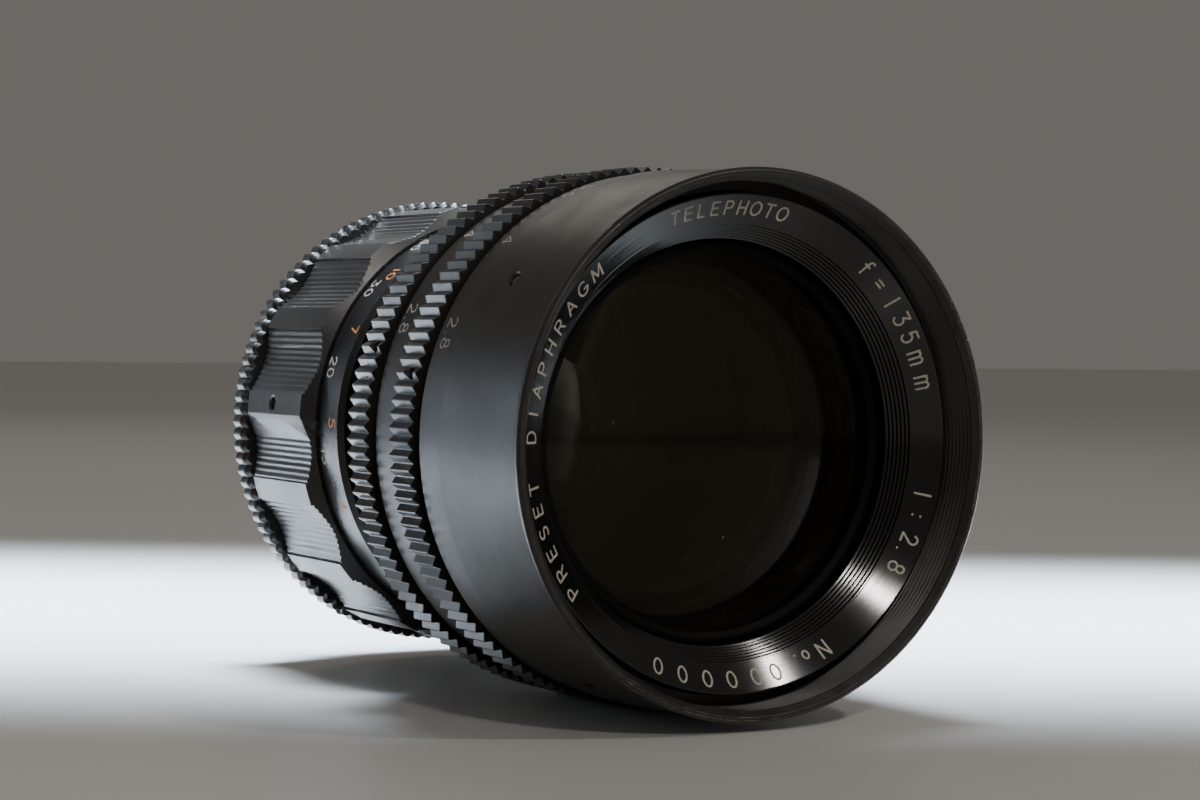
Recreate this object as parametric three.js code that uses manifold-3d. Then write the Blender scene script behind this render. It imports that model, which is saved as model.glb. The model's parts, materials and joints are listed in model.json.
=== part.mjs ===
// Preset telephoto lens, 135 mm f/2.8, with a 42 mm screw mount.
// Millimetres, +Z up. The lens lies on its side with its optical axis along Y and its front facing -Y.
// The origin is under the middle of the lens, on the surface that it lies on.
// Axial places are counted from the front rim towards the rear; angles are counted from the top,
// clockwise as seen from the front. The rest position is focus at infinity with the iris set to f/8.

import * as THREE from 'three';
import { mergeVertices } from 'three/addons/utils/BufferGeometryUtils.js';
import Module from 'manifold-3d';

const wasm = await Module();
wasm.setup();

// ---------------------------------------------------------------- driving dimensions

const LENGTH = 92.4;               // front rim to the end of the mount thread
const GAP = 0.3;                   // clearance between neighbouring pieces
const OUTER_SIDES = 40;            // facets of the outside rings
const INNER_SIDES = 24;            // facets of the pieces inside

const RIM_R = 33.3;
const FILTER_THREAD_R = 31.75;     // M64 x 0.75 filter thread
const FILTER_THREAD_END = 7.0;
const BARREL_REAR_R = 33.7;
const BARREL_END = 19.3;
const BARREL_BORE_R = 30.65;

const PRESET_BAND_R = 33.45;
const PRESET_KNURL_R = 34.4;       // the largest radius, so the lens lies on this ring
const PRESET_START = BARREL_END + GAP;
const PRESET_BAND_END = 24.9;
const PRESET_KNURL_START = 26.2;
const PRESET_END = 31.6;

const APERTURE_BAND_R = 33.1;
const APERTURE_KNURL_R = 34.3;
const APERTURE_START = PRESET_END + GAP;
const APERTURE_BAND_END = 37.9;
const APERTURE_KNURL_START = 38.8;
const APERTURE_END = 43.9;
const KNURL_FOOT_R = 32.7;         // floor of the groove between a ring's band and its knurl
const RING_BORE_R = 30.6;
const RING_CHAMFER = 0.3;

const HEAD_R = RING_BORE_R - GAP;  // the head barrel that both rings turn on
const HEAD_BORE_R = 28.9;
const CELL_R = HEAD_BORE_R - GAP;
const HEAD_START = 12.0;
const HEAD_END = APERTURE_END;

const SLEEVE_R = 25.8;
const SLEEVE_BORE_R = 24.0;
const SLEEVE_START = 42.3;
const SLEEVE_END = 80.5;
const SLEEVE_FLANGE_END = 43.4;

const NUT_BORE_R = SLEEVE_R + GAP;
const NUT_R = 27.2;
const NUT_START = 58.6;
const NUT_END = 82.6;
const SCALE_R = 29.0;
const SCALE_BORE_R = NUT_R + GAP;
const SCALE_START = 58.0;
const SCALE_END = 64.6;
const GRIP_START = 64.9;
const GRIP_END = 84.2;
const GRIP_LAND_R = 31.3;
const GRIP_SCALLOP_R = 29.9;
const GRIP_LOBES = 16;
const GRIP_FIRST_LAND = 5.3;       // degrees from the top
const GRIP_LAND_WIDTH = 5.7;       // degrees
const GRIP_SCREW_LANDS = [0, 5, 12];

const FIXED_R = SLEEVE_BORE_R - GAP;
const FIXED_BORE_R = 21.6;
const FIXED_START = 59.0;
const FLANGE_START = 84.6;
const FLANGE_END = 86.2;
const FLANGE_R = 28.0;
const MOUNT_R = 32.0;
const MOUNT_END = 88.0;
const MOUNT_THREAD_R = 21.0;       // M42 x 1 screw mount
const MOUNT_BORE_R = 19.2;

const FOCUS_RANGE = 300;           // degrees from infinity to the closest distance
const RING_RANGE = 106;            // degrees from f/2.8 to f/22
const RING_TO_OPEN = 64;           // degrees from rest to f/2.8

const BLADES = 10;
const BLADE_START = 36.5;
const BLADE_STEP = 0.44;           // each blade lies one step behind the last
const BLADE_THICKNESS = 0.2;
const BLADE_INNER_R = 16.5;
const BLADE_OUTER_R = 22.2;
const BLADE_PIVOT_R = 23.5;
const BLADE_PIN_R = 0.55;
const BLADE_SWING = 36;            // degrees from open to f/22
const BLADE_ARC = 100;             // degrees that one blade spans

const SCREW_R = 0.9;

// ---------------------------------------------------------------- finishes

const finish = (color, roughness, metalness) => new THREE.MeshStandardMaterial({ color, roughness, metalness });
const BLACK_ANODISED = finish(0x1b1b1d, 0.38, 0.9);
const MATT_BLACK = finish(0x101010, 0.85, 0.2);
const BRASS = finish(0xb08d4a, 0.35, 1.0);
const STEEL = finish(0x9c9ea2, 0.3, 1.0);
const BLADE_STEEL = finish(0x26282b, 0.45, 0.8);
const GLASS = new THREE.MeshStandardMaterial({
  color: 0x6b4a2a, roughness: 0.03, metalness: 0.0, transparent: true, opacity: 0.35,
});

// ---------------------------------------------------------------- shape helpers

const radians = THREE.MathUtils.degToRad;

// A solid of revolution about Y from [axial place, radius] points listed in order round the outline.
// The outline runs so that its faces point outwards, and it closes on itself unless it meets the axis.
function turned(outline, sides = INNER_SIDES) {
  let area = 0;
  outline.forEach(([axial, radius], i) => {
    const [nextAxial, nextRadius] = outline[(i + 1) % outline.length];
    area += radius * nextAxial - nextRadius * axial;
  });
  const ordered = area > 0 ? [...outline] : [...outline].reverse();
  const onAxis = ordered.findIndex(([, radius]) => radius === 0);
  let points = ordered;
  if (onAxis < 0) {
    points = [...ordered, ordered[0]];
  } else {
    const second = ordered.findIndex(([, radius], i) => radius === 0 && i !== onAxis);
    const start = second === onAxis + 1 ? second : onAxis;
    points = [...ordered.slice(start), ...ordered.slice(0, start)];
  }
  return new THREE.LatheGeometry(points.map(([axial, radius]) => new THREE.Vector2(radius, axial)), sides);
}

// A plain ring with a rectangular section.
const collar = (start, end, boreR, outerR, sides = INNER_SIDES) => turned(
  [[start, boreR], [start, outerR], [end, outerR], [end, boreR]], sides);

// Points on a circle of the X-Z plane, as [x, z], at an angle from the top.
const onCircle = (radius, angle) => [radius * Math.sin(radians(angle)), radius * Math.cos(radians(angle))];

// A flat plate lying across the axis, from an outline of [x, z] points.
function plate(points, start, end, holes = []) {
  const shape = new THREE.Shape(points.map(([x, z]) => new THREE.Vector2(x, z)));
  holes.forEach((hole) => shape.holes.push(new THREE.Path(hole.map(([x, z]) => new THREE.Vector2(x, z)))));
  const geometry = new THREE.ExtrudeGeometry(shape, { depth: end - start, bevelEnabled: false });
  geometry.rotateX(Math.PI / 2);
  geometry.translate(0, end, 0);
  return geometry;
}

// A ring sector lying across the axis, between two angles.
function sector(boreR, outerR, from, to, start, end, steps = 16) {
  const outline = [];
  for (let i = 0; i <= steps; i += 1) outline.push(onCircle(outerR, from + ((to - from) * i) / steps));
  for (let i = steps; i >= 0; i -= 1) outline.push(onCircle(boreR, from + ((to - from) * i) / steps));
  return plate(outline, start, end);
}

// A round pin that stands radially at one angle, from an inner to an outer radius.
function radialPin(radius, fromR, toR, angle, axial, sides = 8) {
  const pin = new THREE.CylinderGeometry(radius, radius, toR - fromR, sides);
  pin.rotateX(Math.PI / 2);
  pin.translate(0, axial, (fromR + toR) / 2);
  pin.rotateY(radians(angle));
  return pin;
}

// A hole straight through the wall of an outside ring or of the head barrel, with clearance for its pin.
const WALL_INSIDE = 28;
const WALL_OUTSIDE = 36;
const wallHole = (pinR, angle, place) => radialPin(pinR + GAP, WALL_INSIDE, WALL_OUTSIDE, angle, place);

// A block that stands radially at one angle.
function radialBlock(width, axialLength, fromR, toR, angle, axialStart) {
  const block = new THREE.BoxGeometry(width, axialLength, toR - fromR);
  block.translate(0, axialStart + axialLength / 2, (fromR + toR) / 2);
  block.rotateY(radians(angle));
  return block;
}

function toSolid(geometry) {
  const bare = geometry.clone();
  bare.deleteAttribute('normal');
  bare.deleteAttribute('uv');
  const merged = mergeVertices(bare, 1e-4);
  return new wasm.Manifold(new wasm.Mesh({
    numProp: 3,
    vertProperties: new Float32Array(merged.attributes.position.array),
    triVerts: new Uint32Array(merged.index.array),
  }));
}

function fromSolid(solid) {
  const result = solid.getMesh();
  const geometry = new THREE.BufferGeometry();
  geometry.setAttribute('position', new THREE.BufferAttribute(new Float32Array(result.vertProperties), 3));
  geometry.setIndex(new THREE.BufferAttribute(new Uint32Array(result.triVerts), 1));
  geometry.computeVertexNormals();
  return geometry;
}

const cut = (geometry, ...tools) => fromSolid(
  tools.reduce((solid, tool) => solid.subtract(toSolid(tool)), toSolid(geometry)));
const join = (...pieces) => fromSolid(pieces.slice(1).reduce((solid, piece) => solid.add(toSolid(piece)),
  toSolid(pieces[0])));
const common = (geometry, other) => fromSolid(toSolid(geometry).intersect(toSolid(other)));

// ---------------------------------------------------------------- assembly

const lens = new THREE.Group();
lens.position.set(0, -LENGTH / 2, PRESET_KNURL_R);

function add(name, geometry, material) {
  const mesh = new THREE.Mesh(geometry, material);
  mesh.name = name;
  lens.add(mesh);
}

// ---------------------------------------------------------------- glass

// The outline of one face of a lens element, from the axis to the edge. A positive radius bulges forwards.
function face(vertex, radius, edgeR, steps = 3) {
  const points = [];
  for (let i = 0; i <= steps; i += 1) {
    const r = (edgeR * i) / steps;
    const sag = radius === Infinity ? 0 : Math.abs(radius) - Math.sqrt(radius * radius - r * r);
    points.push([vertex + Math.sign(radius) * sag, r]);
  }
  return radius === Infinity ? [points[0], points[steps]] : points;
}

const element = (front, frontRadius, rear, rearRadius, edgeR) => turned(
  [...face(front, frontRadius, edgeR), ...face(rear, rearRadius, edgeR).reverse()]);

const ELEMENTS = [
  ['element_front', 7.5, 62, 15.5, Infinity, 24.5],
  ['element_second', 16.2, 45, 22.2, 120, 21.5],
  ['element_third', 27.5, -150, 29.5, 38, 17.5],
  ['element_rear', 48.2, 80, 54.2, -60, 15.5],
];
ELEMENTS.forEach(([name, ...faces]) => add(name, element(...faces), GLASS));

// ---------------------------------------------------------------- optical head, which moves to focus

const BARREL_SCREW_ANGLES = [-54.5, -152, 77];
const BARREL_SCREW_PLACE = 12.0 + SCREW_R;

function frontBarrel() {
  const shell = turned([
    [0, 32.5], [0, 32.9], [0.5, RIM_R], [1.4, 33.0], [18.9, BARREL_REAR_R], [BARREL_END, 33.3],
    [BARREL_END, BARREL_BORE_R], [FILTER_THREAD_END, BARREL_BORE_R], [FILTER_THREAD_END, FILTER_THREAD_R],
    [0.85, FILTER_THREAD_R],
  ], OUTER_SIDES);
  return cut(shell, ...BARREL_SCREW_ANGLES.map((angle) => wallHole(SCREW_R, angle, BARREL_SCREW_PLACE)));
}
add('front_barrel', frontBarrel(), BLACK_ANODISED);

// Radial set screws at one axial place, numbered in the order of their angles.
function addScrews(name, angles, place, fromR, toR, radius = SCREW_R) {
  angles.forEach((angle, i) => add(`${name}_${i + 1}`, radialPin(radius, fromR, toR, angle, place), STEEL));
}
addScrews('barrel_screw', BARREL_SCREW_ANGLES, BARREL_SCREW_PLACE, HEAD_R + GAP, 32.9);

const nameRing = turned([
  [4.5, 30.0], [4.5, 30.3], [11.4, 30.3], [11.4, 24.9], [10.1, 24.9], [6.63, 26.85],
], OUTER_SIDES);
add('name_ring', nameRing, BLACK_ANODISED);
const frontRetainer = turned([
  [10.9, 24.1], [10.9, 24.5], [12.1, 24.5], [11.7, 23.4], [11.4, 23.4],
]);
add('front_retainer', frontRetainer, MATT_BLACK);

const CLICK_ANGLE = 150;
const CLICK_PLACES = { preset: 22.6, aperture: 33.0 };
const CLICK_BALL_R = 0.8;
const POCKET_LENGTH = 8;
const springPocket = (middle) => radialBlock(3.2, POCKET_LENGTH, CELL_R - 1.4, CELL_R + 1, CLICK_ANGLE,
  middle - POCKET_LENGTH / 2);

function frontCell() {
  const body = turned([
    [11.7, CELL_R], [25.5, CELL_R], [25.5, 20.8], [24.5, 20.8], [24.5, 21.8], [15.8, 21.8], [15.8, 24.8],
    [11.7, 24.8],
  ]);
  return cut(body, springPocket(CLICK_PLACES.preset - 1.2));
}
add('front_cell', frontCell(), MATT_BLACK);
add('second_retainer', collar(19.4, 20.7, 20.4, 21.5), MATT_BLACK);

function thirdCell() {
  const body = turned([
    [25.9, CELL_R], [35.0, CELL_R], [35.0, 16.6], [34.1, 16.6], [34.1, 17.8], [25.9, 17.8],
  ]);
  return cut(body, springPocket(CLICK_PLACES.aperture - 2.5));
}
add('third_cell', thirdCell(), MATT_BLACK);
add('third_retainer', collar(25.0, 26.1, 16.3, 17.5), MATT_BLACK);

const STOP_PLACES = { preset: 21.6, aperture: 35.0 };
const STOP_ANGLE = -160;
const STOP_R = 0.8;
const CAM_START = 41.1;
const CAM_END = 42.0;
const CAM_LUG_WIDTH = 3;
const LUG_ANGLE = 60;
const degreesAcross = (width, radius) => (width / radius) * THREE.MathUtils.RAD2DEG;

// The slot that the iris cam's lug passes through, long enough for the whole turn of the aperture ring.
function camSlot() {
  const spare = degreesAcross(CAM_LUG_WIDTH, HEAD_R) / 2 + 2;
  return sector(27.5, 32, LUG_ANGLE - (RING_RANGE - RING_TO_OPEN) - spare, LUG_ANGLE + RING_TO_OPEN + spare,
    CAM_START - GAP, CAM_END + GAP);
}

function headBarrel() {
  const tube = collar(HEAD_START, HEAD_END, HEAD_BORE_R, HEAD_R, OUTER_SIDES);
  const stopHoles = Object.values(STOP_PLACES).map((place) => wallHole(STOP_R, STOP_ANGLE, place));
  const ballHoles = Object.values(CLICK_PLACES).map((place) => wallHole(CLICK_BALL_R, CLICK_ANGLE, place));
  return cut(tube, camSlot(), ...stopHoles, ...ballHoles);
}
add('head_barrel', headBarrel(), BLACK_ANODISED);

Object.entries(STOP_PLACES).forEach(([ring, place]) => {
  add(`${ring}_stop_pin`, radialPin(STOP_R, 28.95, 31.3, STOP_ANGLE, place), STEEL);
});

Object.entries(CLICK_PLACES).forEach(([ring, place]) => {
  const ball = new THREE.SphereGeometry(CLICK_BALL_R, 8, 6);
  ball.translate(0, place, 29.55);
  ball.rotateY(radians(CLICK_ANGLE));
  add(`${ring}_click_ball`, ball, STEEL);
  const springStart = place - (ring === 'preset' ? 4.6 : 5.9);
  add(`${ring}_click_spring`, radialBlock(2.4, 6.8, 28.1, 28.4, CLICK_ANGLE, springStart), STEEL);
});

// ---------------------------------------------------------------- iris

const HOUSING_PLATE_END = 36.1;
const HOUSING_END = 40.8;
const HOUSING_START = 35.3;

const pivotAngles = Array.from({ length: BLADES }, (_, i) => (360 / BLADES) * i);

function irisHousing() {
  const cup = turned([
    [HOUSING_START, 17.0], [HOUSING_START, CELL_R], [HOUSING_END, CELL_R], [HOUSING_END, 26.6],
    [HOUSING_PLATE_END, 26.6], [HOUSING_PLATE_END, 17.0],
  ]);
  const holes = pivotAngles.map((angle) => {
    const hole = new THREE.CylinderGeometry(BLADE_PIN_R + GAP, BLADE_PIN_R + GAP, 4, 8);
    const [x, z] = onCircle(BLADE_PIVOT_R, angle);
    hole.translate(x, HOUSING_START, z);
    return hole;
  });
  return cut(cup, ...holes);
}
add('iris_housing', irisHousing(), MATT_BLACK);

// One crescent blade with the tab and pin it swings on, drawn open with its pivot at the top.
function openBlade() {
  const outline = [];
  const steps = 8;
  for (let i = 0; i <= steps; i += 1) {
    outline.push(onCircle(BLADE_OUTER_R, 4 + ((BLADE_ARC - 4) * i) / steps));
  }
  outline.push(onCircle((BLADE_OUTER_R + BLADE_INNER_R) / 2, BLADE_ARC + 6));
  for (let i = steps; i >= 0; i -= 1) outline.push(onCircle(BLADE_INNER_R, (BLADE_ARC * i) / steps - 2));
  outline.push(onCircle(20, -3));
  outline.push([-1.1, BLADE_PIVOT_R - 0.2]);
  outline.push([-0.7, BLADE_PIVOT_R + 0.9]);
  outline.push([0.7, BLADE_PIVOT_R + 0.9]);
  outline.push([1.2, BLADE_PIVOT_R - 0.2]);
  return outline;
}

function irisBlade(index) {
  const place = BLADE_START + index * BLADE_STEP;
  const sheet = plate(openBlade(), place, place + BLADE_THICKNESS);
  const pinStart = HOUSING_START + GAP;
  const pin = new THREE.CylinderGeometry(BLADE_PIN_R, BLADE_PIN_R, place + 0.1 - pinStart, 8);
  pin.translate(0, (place + 0.1 + pinStart) / 2, BLADE_PIVOT_R);
  const blade = join(sheet, pin);
  const swing = (BLADE_SWING * RING_TO_OPEN) / RING_RANGE;
  blade.translate(0, 0, -BLADE_PIVOT_R);
  blade.rotateY(radians(swing));
  blade.translate(0, 0, BLADE_PIVOT_R);
  blade.rotateY(radians(pivotAngles[index]));
  return blade;
}
pivotAngles.forEach((_, index) => {
  add(`iris_blade_${String(index + 1).padStart(2, '0')}`, irisBlade(index), BLADE_STEEL);
});

// The cam ring behind the blades, with a radial slot for each blade and a lug out to the aperture ring.
function irisCam() {
  const disc = collar(CAM_START, CAM_END, 17.0, CELL_R - 0.1);
  const lug = radialBlock(CAM_LUG_WIDTH, CAM_END - CAM_START, 27.5, 31.9, LUG_ANGLE, CAM_START);
  const slots = pivotAngles.map((angle) => radialBlock(1.4, 4, 19.2, 25.4, angle + 18, CAM_START - 1));
  return cut(join(disc, lug), ...slots);
}
add('iris_cam_ring', irisCam(), BRASS);

// ---------------------------------------------------------------- rear group and focusing sleeve

add('rear_cell', turned([
  [43.7, 23.6], [47.5, 23.6], [47.5, 18.6], [53.6, 18.6], [53.6, 14.6], [52.5, 14.6], [52.5, 15.8],
  [46.0, 15.8], [43.7, 18.5],
]), MATT_BLACK);
add('rear_retainer', collar(48.1, 49.1, 14.4, 15.5), MATT_BLACK);

const KEY_ANGLE = 180;
const KEY_WIDTH = 4;
const KEY_START = 62;
const KEY_LENGTH = 4;

function headSleeve() {
  const tube = turned([
    [SLEEVE_START, SLEEVE_BORE_R], [SLEEVE_START, CELL_R], [SLEEVE_FLANGE_END, CELL_R],
    [SLEEVE_FLANGE_END, SLEEVE_R], [SLEEVE_END, SLEEVE_R], [SLEEVE_END, SLEEVE_BORE_R],
  ], OUTER_SIDES);
  const keySlot = radialBlock(KEY_WIDTH + 2 * GAP, 25, 22, 28, KEY_ANGLE, KEY_START - 2 * GAP);
  return cut(tube, keySlot);
}
add('head_sleeve', headSleeve(), BLACK_ANODISED);

// The conical shoulder behind the aperture ring, which keeps that ring on the head barrel.
add('head_shoulder', turned([
  [44.2, SLEEVE_R + GAP], [44.2, 32.0], [45.8, 32.0], [52.0, 27.4], [52.0, SLEEVE_R + GAP],
], OUTER_SIDES), BLACK_ANODISED);

// ---------------------------------------------------------------- preset ring and aperture ring

const PRESET_SCREW_PLACE = 28.2;
const PRESET_SCREW_ANGLES = [-76.5, 43.5, 163.5];
const APERTURE_SCREW_PLACE = 40.3;
const APERTURE_SCREW_ANGLES = [-71, 49, 169];

// A turning ring: a plain band that carries the f-numbers, and a raised band behind it for the knurl.
const scaleRing = (start, bandEnd, knurlStart, end, bandR, knurlR) => turned([
  [start, RING_BORE_R], [start, bandR - RING_CHAMFER], [start + RING_CHAMFER, bandR], [bandEnd, bandR],
  [bandEnd, KNURL_FOOT_R], [knurlStart, KNURL_FOOT_R], [knurlStart, knurlR - RING_CHAMFER],
  [knurlStart + RING_CHAMFER, knurlR],
  [end - RING_CHAMFER, knurlR], [end, knurlR - RING_CHAMFER], [end, RING_BORE_R],
], OUTER_SIDES);

// The groove inside a ring that its stop pin runs in: the pin meets an end at each limit of the turn.
function stopGroove(place, toOpen) {
  const spare = degreesAcross(STOP_R, 31) + 1.5;
  return sector(RING_BORE_R - 1, 31.9, STOP_ANGLE - toOpen - spare, STOP_ANGLE + (RING_RANGE - toOpen) + spare,
    place - STOP_R - GAP, place + STOP_R + GAP);
}

const PRESET_TO_OPEN = 68;

function presetRing() {
  const ring = scaleRing(PRESET_START, PRESET_BAND_END, PRESET_KNURL_START, PRESET_END, PRESET_BAND_R,
    PRESET_KNURL_R);
  const screwHoles = PRESET_SCREW_ANGLES.map((angle) => wallHole(SCREW_R, angle, PRESET_SCREW_PLACE));
  return cut(ring, stopGroove(STOP_PLACES.preset, PRESET_TO_OPEN), ...screwHoles);
}
add('preset_ring', presetRing(), BLACK_ANODISED);
addScrews('preset_ring_screw', PRESET_SCREW_ANGLES, PRESET_SCREW_PLACE, RING_BORE_R + 0.4, 33.4);

function apertureRing() {
  const ring = scaleRing(APERTURE_START, APERTURE_BAND_END, APERTURE_KNURL_START, APERTURE_END, APERTURE_BAND_R,
    APERTURE_KNURL_R);
  const screwHoles = APERTURE_SCREW_ANGLES.map((angle) => wallHole(SCREW_R, angle, APERTURE_SCREW_PLACE));
  const lugPocket = radialBlock(CAM_LUG_WIDTH + 2 * GAP, CAM_END - CAM_START + 2 * GAP, 30, 32.2, LUG_ANGLE,
    CAM_START - GAP);
  return cut(ring, stopGroove(STOP_PLACES.aperture, RING_TO_OPEN), lugPocket, ...screwHoles);
}
add('aperture_ring', apertureRing(), BLACK_ANODISED);
addScrews('aperture_ring_screw', APERTURE_SCREW_ANGLES, APERTURE_SCREW_PLACE, RING_BORE_R + 0.4, 33.2);

// ---------------------------------------------------------------- focusing ring

const STOP_PIN_R = 0.4;
const NUT_MIDDLE_R = (NUT_BORE_R + NUT_R) / 2;
const FOCUS_STOP_ANGLE = 90;

// The turning helicoid nut. The lug at its rear end meets the fixed stop pin at both ends of the turn.
function focusNut() {
  const pinAcross = degreesAcross(STOP_PIN_R, NUT_MIDDLE_R);
  const lugFrom = FOCUS_STOP_ANGLE + pinAcross + 1.5;
  const lugTo = FOCUS_STOP_ANGLE + 360 - FOCUS_RANGE - pinAcross - 1.5;
  const tube = collar(NUT_START, NUT_END, NUT_BORE_R, NUT_R, OUTER_SIDES);
  const lug = common(
    sector(NUT_BORE_R - 1, NUT_R + 1, lugFrom, lugTo, NUT_END - 0.5, GRIP_END),
    collar(NUT_END - 0.5, GRIP_END, NUT_BORE_R, NUT_R, OUTER_SIDES));
  return join(tube, lug);
}
add('focus_nut', focusNut(), BRASS);

add('distance_ring', turned([
  [SCALE_START, SCALE_BORE_R], [SCALE_START, 28.4], [SCALE_START + 0.6, SCALE_R], [SCALE_END, SCALE_R],
  [SCALE_END, SCALE_BORE_R],
], OUTER_SIDES), BLACK_ANODISED);

const GRIP_SCREW_PLACE = 75.4;
const gripScrewAngles = GRIP_SCREW_LANDS.map((land) => GRIP_FIRST_LAND + (land * 360) / GRIP_LOBES - 90);

function focusGrip() {
  const outline = [];
  const pitch = 360 / GRIP_LOBES;
  const scallopSpan = pitch - GRIP_LAND_WIDTH;
  const scallopSteps = 4;
  for (let lobe = 0; lobe < GRIP_LOBES; lobe += 1) {
    const land = GRIP_FIRST_LAND + lobe * pitch;
    outline.push(onCircle(GRIP_LAND_R, land - GRIP_LAND_WIDTH / 2));
    outline.push(onCircle(GRIP_LAND_R, land));
    for (let i = 0; i < scallopSteps; i += 1) {
      const along = i / scallopSteps;
      const depth = (GRIP_LAND_R - GRIP_SCALLOP_R) * Math.sin(Math.PI * along);
      outline.push(onCircle(GRIP_LAND_R - depth, land + GRIP_LAND_WIDTH / 2 + scallopSpan * along));
    }
  }
  const bore = [];
  for (let i = 0; i < OUTER_SIDES; i += 1) bore.push(onCircle(SCALE_BORE_R, (360 / OUTER_SIDES) * i));
  const lobed = plate(outline, GRIP_START, GRIP_END, [bore.reverse()]);
  const chamfered = turned([
    [GRIP_START, 0], [GRIP_START, 29.4], [GRIP_START + 1.0, 31.6], [GRIP_END - 0.5, 31.6], [GRIP_END, 31.0],
    [GRIP_END, 0],
  ], OUTER_SIDES);
  const holes = gripScrewAngles.map((angle) => radialPin(SCREW_R + GAP, NUT_R, WALL_OUTSIDE, angle,
    GRIP_SCREW_PLACE));
  return cut(common(lobed, chamfered), ...holes);
}
add('focus_grip', focusGrip(), BLACK_ANODISED);
addScrews('grip_screw', gripScrewAngles, GRIP_SCREW_PLACE, SCALE_BORE_R + 0.1, 30.9);

// ---------------------------------------------------------------- fixed rear body

add('fixed_barrel', turned([
  [FIXED_START, FIXED_BORE_R], [FIXED_START, FIXED_R], [FLANGE_START, FIXED_R], [FLANGE_START, FLANGE_R],
  [FLANGE_END, FLANGE_R], [FLANGE_END, FIXED_BORE_R],
]), BLACK_ANODISED);
const focusKey = radialBlock(KEY_WIDTH, KEY_LENGTH, FIXED_R + 0.1, SLEEVE_R - 0.1, KEY_ANGLE, KEY_START);
add('focus_key', focusKey, BRASS);

function focusStopPin() {
  const pin = new THREE.CylinderGeometry(STOP_PIN_R, STOP_PIN_R, FLANGE_START - GAP - NUT_END - GAP, 10);
  const [x, z] = onCircle(NUT_MIDDLE_R, FOCUS_STOP_ANGLE);
  pin.translate(x, (NUT_END + FLANGE_START) / 2, z);
  return pin;
}
add('focus_stop_pin', focusStopPin(), STEEL);
add('rear_baffle', collar(79.0, 80.0, 15.5, FIXED_BORE_R - GAP), MATT_BLACK);

const MOUNT_SCREW_ANGLES = [-30, 90, 210];
const MOUNT_SCREW_PLACE = 86.2;
const MOUNT_SCREW_R = 0.6;

function mountRing() {
  const ring = turned([
    [FLANGE_START, FLANGE_R + GAP], [FLANGE_START, 31.2], [FLANGE_START + 0.6, MOUNT_R],
    [MOUNT_END - 0.6, MOUNT_R], [MOUNT_END, 31.4], [MOUNT_END, MOUNT_THREAD_R],
    [LENGTH - 0.4, MOUNT_THREAD_R], [LENGTH, 20.6], [LENGTH, MOUNT_BORE_R],
    [FLANGE_END + GAP, MOUNT_BORE_R], [FLANGE_END + GAP, FLANGE_R + GAP],
  ], OUTER_SIDES);
  const holes = MOUNT_SCREW_ANGLES.map((angle) => radialPin(MOUNT_SCREW_R + GAP, FLANGE_R - 1, WALL_OUTSIDE,
    angle, MOUNT_SCREW_PLACE));
  return cut(ring, ...holes);
}
add('mount_ring', mountRing(), BLACK_ANODISED);
addScrews('mount_screw', MOUNT_SCREW_ANGLES, MOUNT_SCREW_PLACE, FLANGE_R + GAP, 31.5, MOUNT_SCREW_R);

export default lens;
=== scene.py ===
import json
import math
import random

import bmesh
import bpy
from mathutils import Matrix, Vector


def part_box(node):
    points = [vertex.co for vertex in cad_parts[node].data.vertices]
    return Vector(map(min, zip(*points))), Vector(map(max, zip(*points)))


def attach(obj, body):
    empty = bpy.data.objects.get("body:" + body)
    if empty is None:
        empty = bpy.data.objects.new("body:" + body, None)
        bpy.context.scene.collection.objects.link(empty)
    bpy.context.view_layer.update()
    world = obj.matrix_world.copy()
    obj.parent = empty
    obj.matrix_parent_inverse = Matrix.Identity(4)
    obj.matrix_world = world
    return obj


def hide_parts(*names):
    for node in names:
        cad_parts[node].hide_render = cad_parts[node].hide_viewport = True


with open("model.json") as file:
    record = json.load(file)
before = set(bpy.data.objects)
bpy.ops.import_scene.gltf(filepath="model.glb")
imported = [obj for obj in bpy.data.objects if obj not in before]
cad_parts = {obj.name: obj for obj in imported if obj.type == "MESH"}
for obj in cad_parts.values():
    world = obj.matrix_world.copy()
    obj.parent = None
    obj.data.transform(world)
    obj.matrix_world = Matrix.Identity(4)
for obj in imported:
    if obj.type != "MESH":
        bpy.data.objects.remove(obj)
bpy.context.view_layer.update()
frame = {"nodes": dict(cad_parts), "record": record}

MM = 0.001

# ------------------------------------------------------------------ where the lens is
# Places along the axis are in millimetres behind the front rim. Angles are in degrees from the top,
# clockwise as seen from the front.

RIM_LOW, RIM_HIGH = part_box("front_barrel")
FRONT_Y = RIM_LOW.y
AXIS_Z = (RIM_LOW.z + RIM_HIGH.z) / 2


def point(axial, radius, angle):
    turn = math.radians(angle)
    across, up = radius * MM * math.sin(turn), radius * MM * math.cos(turn)
    return Vector((across, FRONT_Y + axial * MM, AXIS_Z + up))


def span(node):
    """The places where a CAD node starts and ends along the axis."""
    low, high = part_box(node)
    return (low.y - FRONT_Y) / MM, (high.y - FRONT_Y) / MM


def outer_radius(node):
    low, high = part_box(node)
    return (high.x - low.x) / 2 / MM


def polar(node):
    """The axial place, angle and radius of a small node's centre."""
    low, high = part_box(node)
    centre = (low + high) / 2
    x, z = centre.x, centre.z - AXIS_Z
    return (centre.y - FRONT_Y) / MM, math.degrees(math.atan2(x, z)), math.hypot(x, z) / MM


# ------------------------------------------------------------------ materials

def node(tree, kind, settings=None, **inputs):
    """A shader node. Inputs are given by name, or as i0, i1 and so on by their place."""
    made = tree.nodes.new(kind)
    for key, value in (settings or {}).items():
        setattr(made, key, value)
    for key, value in inputs.items():
        socket = made.inputs[int(key[1:]) if key.startswith("i") else key]
        if isinstance(value, bpy.types.NodeSocket):
            tree.links.new(value, socket)
        else:
            socket.default_value = value
    return made


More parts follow.
